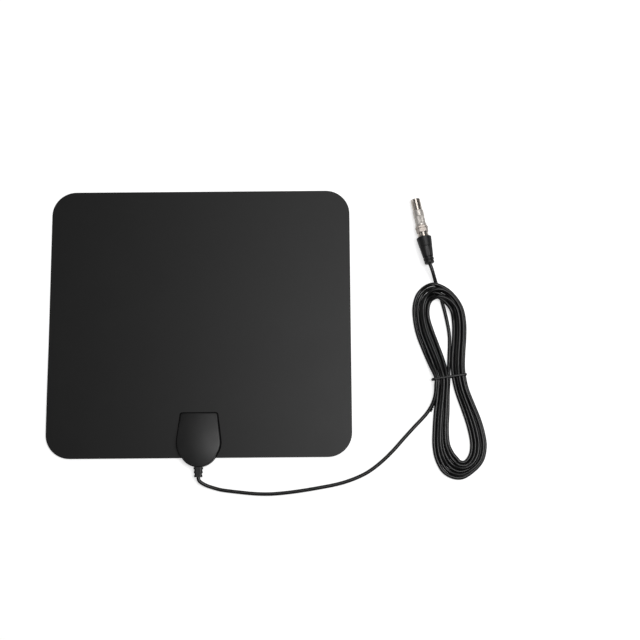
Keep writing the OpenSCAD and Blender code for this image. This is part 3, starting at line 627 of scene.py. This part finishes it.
def twisted_tail(bm):
    """The wire's two ends, wound round each other along a straight line on the table."""
    above_table = Vector((0, exit_y, 2 * strand_r))
    start = Vector((*tail_from, 0)) * MM + above_table
    end = Vector((*tail_to, 0)) * MM + above_table
    along = end - start
    face_on = along.to_track_quat("Z", "Y").to_matrix().to_4x4()
    steps = tail_turns * strand_steps
    for side in (1, -1):
        place = Matrix.Translation(start) @ face_on @ Matrix.Translation((side * strand_r, 0, 0))
        made = bmesh.ops.create_circle(
            bm, cap_ends=True, segments=strand_sides, radius=strand_r, matrix=place
        )
        cap = made["verts"][0].link_faces[:]
        bmesh.ops.spin(
            bm,
            geom=cap,
            cent=start,
            axis=along.normalized(),
            dvec=along / steps,
            angle=tail_turns * math.tau,
            steps=steps,
        )


def tie_piece():
    bm = tie_loop()
    turn = Matrix.Rotation(math.atan(tie_slope), 4, "Z")
    place = Vector((tie_middle[0] * MM, tie_middle[1] * MM + exit_y, 0))
    bm.transform(Matrix.Translation(place) @ turn)
    twisted_tail(bm)
    return finished(bm, "wire_tie", tie_finish())


tie = tie_piece()
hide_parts("hank_tie")


# Aerial plug: a ferrule and coupling nut screwed tight against the adapter, which has a matte body and
# collar and a bright sleeve. All are turned from brass and nickel-plated; the nut's nickel is given a darker
# colour and a little more roughness.
def nickel_finish(name, base, roughness, brushed):
    f = Finish(name)
    scratch = f.noise(0.12 * MM, detail=3, at=f.stretched(1, 0.08, 1))
    tarnish = f.noise(5 * MM, detail=3).between(0.5, 0.85)
    dull = tuple(0.8 * c for c in base)
    return f.surface(
        Base_Color=f.mix(tarnish * 0.7, base, dull),
        Metallic=1.0,
        Roughness=roughness + tarnish * 0.08 + scratch * brushed,
        Normal=f.bump(scratch, 0.002 * MM, 0.15),
    )


nickel = nickel_finish("bright_nickel", (0.64, 0.585, 0.535), 0.2, 0.06)
dark_nickel = nickel_finish("dark_nickel", (0.42, 0.375, 0.34), 0.24, 0.1)
satin_nickel = nickel_finish("satin_nickel", (0.8, 0.755, 0.71), 0.44, 0.1)
paint(nickel, "plug_ferrule", "adapter_sleeve")
paint(dark_nickel, "coupling_nut")
paint(satin_nickel, "adapter_body", "adapter_collar")


# Small parts inside the pod and the plug: screws, board, balun, contacts, pin and insulators. None of
# them shows, and each still has the finish of its own metal, plastic or ceramic.
def metal_finish(name, base, roughness):
    f = Finish(name)
    turned = f.noise(0.2 * MM, detail=3, at=f.stretched(1, 0.3, 1))
    return f.surface(
        Base_Color=f.mix(turned * 0.4, base, tuple(0.7 * c for c in base)),
        Metallic=1.0,
        Roughness=roughness + turned * 0.15,
        Normal=f.bump(turned, 0.005 * MM, 0.3),
    )


def plain_finish(name, base, spot, roughness, size):
    f = Finish(name)
    mottle = f.noise(size, detail=3)
    return f.surface(
        Base_Color=f.mix(mottle.between(0.4, 0.7), base, spot),
        Roughness=roughness + mottle * 0.1,
        Normal=f.bump(mottle, 0.01 * MM, 0.3),
    )


paint(metal_finish("screw_steel", (0.45, 0.45, 0.46), 0.3), "cover_screws")
paint(metal_finish("copper_wire", (0.75, 0.4, 0.24), 0.28), "balun_winding", "lead_shield", "plug_conductor")
paint(metal_finish("brass", (0.78, 0.62, 0.34), 0.26), "left_contact", "right_contact", "adapter_pin")
paint(plain_finish("board_mask", (0.03, 0.16, 0.06), (0.05, 0.22, 0.09), 0.3, 3 * MM), "circuit_board")
paint(plain_finish("ferrite", (0.03, 0.03, 0.033), (0.05, 0.048, 0.048), 0.7, 0.4 * MM), "balun_core")
paint(plain_finish("chip_body", (0.02, 0.02, 0.02), (0.035, 0.033, 0.03), 0.5, 0.3 * MM), "chip_parts")
paint(
    plain_finish("white_insulation", (0.74, 0.73, 0.69), (0.8, 0.79, 0.76), 0.35, 1.5 * MM),
    "lead_conductor", "pin_insulator", "socket_insulator",
)

# The lead leaves through the strain relief and carries the tie and the whole plug. Its length is worked out
# here from its centreline, and not kept.
length_of(lead_centre())


# Table: a white sheet of paper, which keeps a faint shadow of the part. The camera sees it a little
# brighter than it is lit, so that it shows as white.
glow_seen, glow_mirrored = 0.6, 0.14
plain_from, plain_beyond = 0.6, 1.0
table_half, below_part = 3, 0.05 * MM


def table_finish():
    f = Finish("white_table")
    paper = f.noise(2 * MM, detail=3)
    lit = f.node(
        "ShaderNodeBsdfPrincipled",
        {},
        {"Base Color": f.mix(paper, (0.8, 0.8, 0.8), (0.83, 0.83, 0.83)), "Roughness": 0.9},
    )
    seen = f.node("ShaderNodeLightPath", output="Is Camera Ray")
    mirrored = f.node("ShaderNodeLightPath", output="Is Glossy Ray")
    strength = seen * glow_seen + mirrored * glow_mirrored
    glow = f.node("ShaderNodeEmission", {}, {"Color": (1.0, 1.0, 1.0), "Strength": strength})
    near = f.node("ShaderNodeAddShader", {}, {0: lit, 1: glow})
    # Well away from the part the camera sees plain white, so no view shows where the light ends
    white = f.node("ShaderNodeEmission", {}, {"Color": (1.0, 1.0, 1.0), "Strength": 1.0})
    away = f.node("ShaderNodeVectorMath", {"operation": "LENGTH"}, {0: f.place()}, output="Value")
    share = away.between(plain_from, plain_beyond) * seen
    whole = f.node("ShaderNodeMixShader", {}, {0: share, 1: near, 2: white})
    f.node("ShaderNodeOutputMaterial", {}, {"Surface": whole})
    return f.material


def table_piece():
    bm = bmesh.new()
    under = Matrix.Translation((0, 0, -below_part))
    bmesh.ops.create_grid(bm, x_segments=1, y_segments=1, size=table_half, matrix=under)
    mesh = bpy.data.meshes.new("table")
    bm.to_mesh(mesh)
    bm.free()
    mesh.materials.append(table_finish())
    piece = bpy.data.objects.new("table", mesh)
    scene.collection.objects.link(piece)


table_piece()


# Studio: one large soft lamp to the right, which gives the sheet and pod their sheen, one above the plug,
# two weak ones from the left and the back, and a little grey light from all round.
def soft_lamp(name, place, aim, width, height, watts):
    lamp = bpy.data.lights.new(name, "AREA")
    lamp.shape, lamp.size, lamp.size_y, lamp.energy = "RECTANGLE", width, height, watts
    piece = bpy.data.objects.new(name, lamp)
    piece.location = place
    piece.rotation_mode = "QUATERNION"
    piece.rotation_quaternion = (Vector(aim) - Vector(place)).to_track_quat("-Z", "Y")
    scene.collection.objects.link(piece)


soft_lamp("lamp_key", (0.56, -0.02, 1.15), (0.14, 0, 0), 0.5, 1.0, 9)
soft_lamp("lamp_left", (-0.9, 0.2, 0.7), (0, 0, 0), 0.4, 0.9, 0.5)
soft_lamp("lamp_over", (0.24, 0.64, 1.15), (0.2, 0.1, 0), 0.62, 0.26, 1.5)
soft_lamp("lamp_back", (0.3, 1.1, 0.8), (0.1, 0, 0), 1.2, 0.4, 1.2)


def studio_air():
    """Grey all round, and white where the camera looks past the table."""
    f = Finish("studio", bpy.data.worlds)
    seen = f.node("ShaderNodeLightPath", output="Is Camera Ray")
    grey = f.node("ShaderNodeBackground", {}, {"Color": (0.9, 0.9, 0.9), "Strength": 0.085})
    white = f.node("ShaderNodeBackground", {}, {"Color": (1.0, 1.0, 1.0), "Strength": 1.0})
    air = f.node("ShaderNodeMixShader", {}, {0: seen, 1: grey, 2: white})
    f.node("ShaderNodeOutputWorld", {}, {"Surface": air})
    scene.world = f.material


studio_air()
